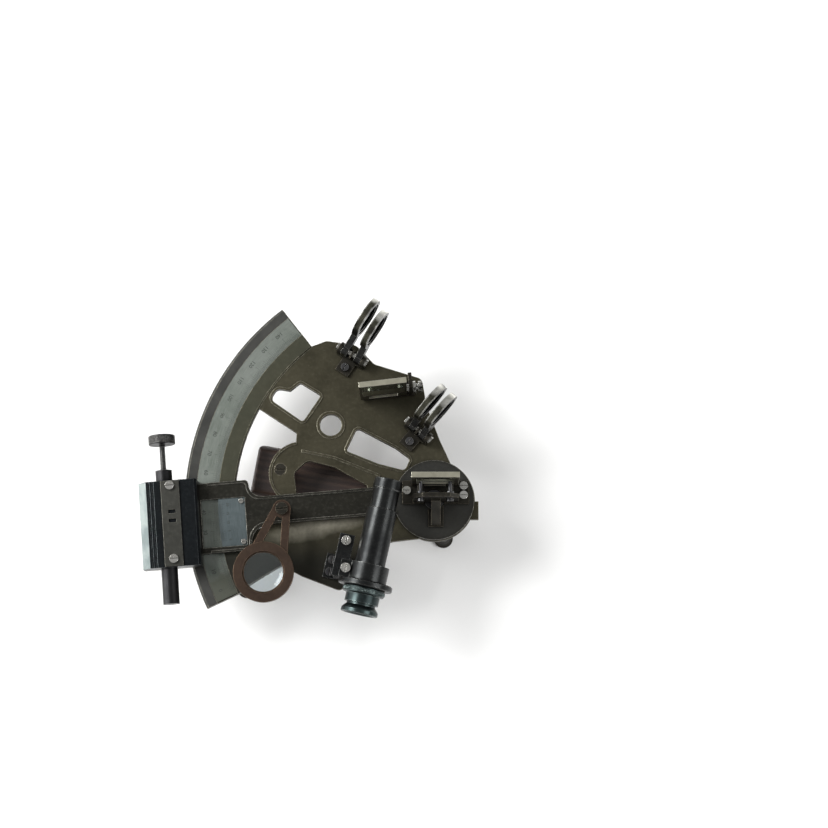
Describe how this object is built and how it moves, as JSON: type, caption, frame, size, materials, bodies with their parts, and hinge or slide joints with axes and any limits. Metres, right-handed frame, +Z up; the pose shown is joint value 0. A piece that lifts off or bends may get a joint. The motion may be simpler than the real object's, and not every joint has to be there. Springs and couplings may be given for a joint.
{
  "type": "sextant",
  "caption": "Vernier sextant in dark bronze: a silvered arc on an open frame, a swinging index arm with tangent box and magnifier, mirrors, dark shades and a short telescope, on feet",
  "frame": {"origin": "bottom centre of the bounding box: the floor under the three feet, at the middle of the footprint in the pictured pose", "axes": "+Z up, square to the frame's face; +X from the arc to the pivot; +Y away from the telescope's eye end"},
  "size_m": [0.2237, 0.2131, 0.0985],
  "materials": {
    "bronze": "antiqued, olive brown, worn",
    "dark_bronze": "dark antiqued",
    "blackened": "blackened, satin",
    "gunmetal": "dulled grey",
    "nickel": "bright, slightly worn",
    "silvered": "silvered and tarnished, engraved",
    "copper": "copper brown",
    "wood": "dark reddish brown, oiled",
    "clear_glass": "clear, polished",
    "dark_glass": "dark tinted, polished",
    "mirror_glass": "silvered glass"
  },
  "bodies": {
    "frame": {"frame": "bronze", "arc_scale": "silvered", "leg_upper": "dark_bronze", "leg_lower": "dark_bronze", "leg_pivot": "dark_bronze", "handle_grip": "wood", "handle_posts": "dark_bronze", "handle_screws": "dark_bronze", "pivot_bush": "copper", "telescope_bracket": "blackened", "telescope_collar": "blackened", "collar_screws": "nickel", "frame_screws": "gunmetal", "telescope_tube": "blackened", "objective_cell": "blackened", "objective_lens": "clear_glass", "horizon_mirror_bracket": "dark_bronze", "horizon_mirror_frame": "bronze", "horizon_mirror_glass": "mirror_glass", "horizon_adjusters": "nickel", "shade_screws": "gunmetal"},
    "eyepiece": {"eyepiece_tube": "blackened", "eyecup": "dark_bronze", "eye_lens": "clear_glass"},
    "horizon_shade_bracket": {"horizon_shade_bracket": "dark_bronze", "horizon_shade_pin": "nickel"},
    "horizon_shade_1": {"horizon_shade_1": "nickel", "horizon_shade_glass_1": "dark_glass"},
    "horizon_shade_2": {"horizon_shade_2": "nickel", "horizon_shade_glass_2": "dark_glass"},
    "index_shade_bracket": {"index_shade_bracket": "dark_bronze", "index_shade_pin": "nickel"},
    "index_shade_1": {"index_shade_1": "nickel", "index_shade_glass_1": "dark_glass"},
    "index_shade_2": {"index_shade_2": "nickel", "index_shade_glass_2": "dark_glass"},
    "clamp": {"clamp_block": "bronze", "clamp_shoe": "copper"},
    "clamp_screw": {"clamp_screw": "gunmetal"},
    "index_arm": {"index_arm": "dark_bronze", "vernier_plate": "silvered", "small_screws": "nickel", "pivot_shaft": "gunmetal", "pivot_nut": "gunmetal", "index_mirror_bracket": "dark_bronze", "index_mirror_frame": "bronze", "index_mirror_glass": "mirror_glass", "mirror_screws": "nickel", "index_adjusters": "gunmetal", "tangent_box": "blackened", "box_cover": "bronze", "screw_collar": "gunmetal", "spring_barrel": "gunmetal", "magnifier_post": "dark_bronze"},
    "thrust_pad": {"thrust_pad": "nickel"},
    "tangent_screw": {"tangent_screw": "gunmetal"},
    "spring_plunger": {"spring_plunger": "nickel", "tangent_spring": "nickel"},
    "magnifier": {"magnifier_arm": "copper", "magnifier_lens": "clear_glass"}
  },
  "joints": [
    {"name": "index_travel", "type": "hinge", "parent": "frame", "child": "clamp", "pos_m": [0.0826, -0.027, 0.051], "axis": [0, 0, 1], "range_deg": [-48, 13]},
    {"name": "clamp_turn", "type": "hinge", "parent": "clamp", "child": "clamp_screw", "pos_m": [-0.07064, -0.04261, 0.043], "axis": [0, 0, 1], "range_deg": [0, 270]},
    {"name": "fine_motion", "type": "hinge", "parent": "clamp", "child": "index_arm", "pos_m": [0.0826, -0.027, 0.051], "axis": [0, 0, 1], "range_deg": [-0.83, 0.83]},
    {"name": "pad_slide", "type": "slide", "parent": "index_arm", "child": "thrust_pad", "axis": [0.0819, -0.9966, 0], "range_m": [-0.00255, 0.00255]},
    {"name": "tangent_screw_turn", "type": "hinge", "parent": "thrust_pad", "child": "tangent_screw", "pos_m": [-0.09256, -0.04441, 0.06055], "axis": [0.0819, -0.9966, 0], "range_deg": [-900, 900]},
    {"name": "plunger_slide", "type": "slide", "parent": "index_arm", "child": "spring_plunger", "axis": [0.0819, -0.9966, 0], "range_m": [-0.00255, 0.00255], "deforming": ["tangent_spring"]},
    {"name": "magnifier_turn", "type": "hinge", "parent": "index_arm", "child": "magnifier", "pos_m": [-0.01668, -0.03496, 0.0695], "axis": [0, 0, 1], "range_deg": [-80, 5]},
    {"name": "eyepiece_focus", "type": "slide", "parent": "frame", "child": "eyepiece", "axis": [-0.2164, -0.9763, 0], "range_m": [0, 0.006]},
    {"name": "horizon_shade_swivel", "type": "hinge", "parent": "frame", "child": "horizon_shade_bracket", "pos_m": [0.0232, 0.06245, 0.051], "axis": [0, 0, 1], "range_deg": [-45, 10]},
    {"name": "horizon_shade_1_fold", "type": "hinge", "parent": "horizon_shade_bracket", "child": "horizon_shade_1", "pos_m": [0.0281, 0.07, 0.058], "axis": [0.8387, -0.5446, 0], "range_deg": [0, 68]},
    {"name": "horizon_shade_2_fold", "type": "hinge", "parent": "horizon_shade_bracket", "child": "horizon_shade_2", "pos_m": [0.0281, 0.07, 0.058], "axis": [0.8387, -0.5446, 0], "range_deg": [-22, 46]},
    {"name": "index_shade_swivel", "type": "hinge", "parent": "frame", "child": "index_shade_bracket", "pos_m": [0.06634, 0.01236, 0.051], "axis": [0, 0, 1], "range_deg": [-26, 10]},
    {"name": "index_shade_1_fold", "type": "hinge", "parent": "index_shade_bracket", "child": "index_shade_1", "pos_m": [0.0723, 0.0191, 0.058], "axis": [0.749, -0.6626, 0], "range_deg": [-35, 38]},
    {"name": "index_shade_2_fold", "type": "hinge", "parent": "index_shade_bracket", "child": "index_shade_2", "pos_m": [0.0723, 0.0191, 0.058], "axis": [0.749, -0.6626, 0], "range_deg": [-35, 38]}
  ],
  "couplings": [
    {"joint": "fine_motion", "follows": "tangent_screw_turn", "ratio": -0.00090429},
    {"joint": "pad_slide", "follows": "tangent_screw_turn", "m_per_rad": 0.00015915},
    {"joint": "plunger_slide", "follows": "tangent_screw_turn", "m_per_rad": 0.00015915}
  ]
}
